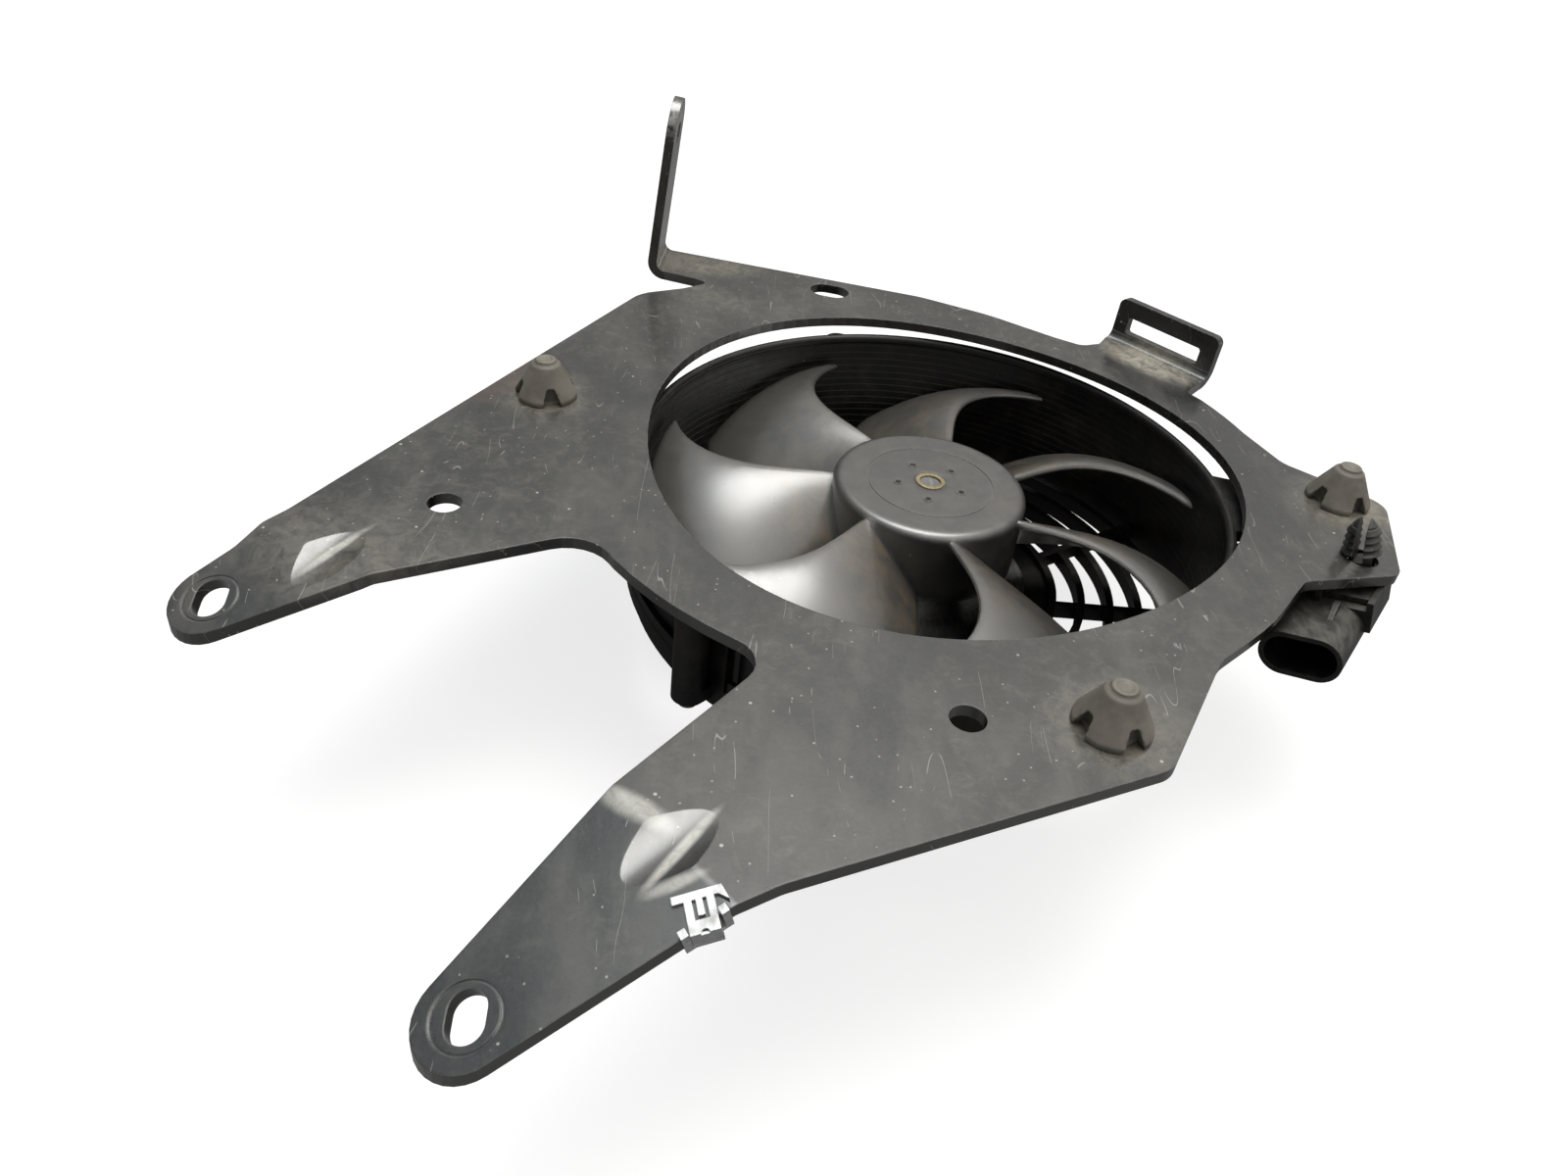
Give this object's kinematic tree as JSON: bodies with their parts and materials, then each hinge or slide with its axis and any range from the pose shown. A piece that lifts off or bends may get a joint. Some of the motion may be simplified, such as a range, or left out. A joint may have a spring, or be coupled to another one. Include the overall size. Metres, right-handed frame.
{
  "type": "radiator cooling fan",
  "caption": "Axial cooling fan with swept blades in a stepped duct and guard, a motor in its hub, hung by rubber mounts from a bent steel bracket plate.",
  "frame": {"origin": "centre of the motor's flat back face, on the fan axis", "axes": "+Z along the fan axis, from the motor's back to the intake side where the bracket plate is; -Y is the side that the picture is taken from"},
  "size_m": [0.3043, 0.3116, 0.1218],
  "materials": {
    "bracket_paint": "charcoal semi-gloss coat, dusty and scratched",
    "mount_rubber": "warm grey matt",
    "spring_steel": "bright zinc",
    "duct_plastic": "black, faint sheen",
    "screw_steel": "zinc plated",
    "case_steel": "zinc plated, dull",
    "magnet": "dark grey ferrite",
    "card_plastic": "brown laminate",
    "brass_part": "dull brass",
    "carbon": "carbon",
    "bronze": "oiled sintered bronze",
    "black_rubber": "matt",
    "connector_plastic": "black, dusty",
    "terminal_metal": "tinned",
    "seal_rubber": "rust red",
    "fan_plastic": "satin dark grey",
    "shaft_steel": "ground",
    "core_steel": "laminated",
    "copper_wire": "enamelled copper",
    "copper_bar": "copper"
  },
  "bodies": {
    "frame": {"bracket_plate": "bracket_paint", "rubber_mount_left": "mount_rubber", "rubber_mount_right": "mount_rubber", "rubber_mount_front": "mount_rubber", "edge_clip": "spring_steel", "shroud_ring": "duct_plastic", "guard_grille": "duct_plastic", "guard_screws": "screw_steel", "motor_case": "case_steel", "motor_rear_cover": "case_steel", "motor_screws": "screw_steel", "magnet_left": "magnet", "magnet_right": "magnet", "magnet_springs": "spring_steel", "brush_card": "card_plastic", "brush_boxes": "brass_part", "brush_left": "carbon", "brush_right": "carbon", "brush_springs": "spring_steel", "front_bearing": "bronze", "rear_bearing": "bronze", "bearing_retainers": "spring_steel", "lead_grommet": "black_rubber", "connector_housing": "connector_plastic", "connector_terminals": "terminal_metal", "connector_rear_seal": "seal_rubber", "fir_tree_clip": "connector_plastic"},
    "rotor": {"impeller": "fan_plastic", "hub_insert": "brass_part", "rotor_shaft": "shaft_steel", "armature_core": "core_steel", "armature_windings": "copper_wire", "commutator": "copper_bar", "thrust_washers": "spring_steel"}
  },
  "joints": [
    {"name": "fan_spin", "type": "hinge", "parent": "frame", "child": "rotor", "pos_m": [0, 0, 0.03], "axis": [0, 0, 1], "continuous": true}
  ]
}
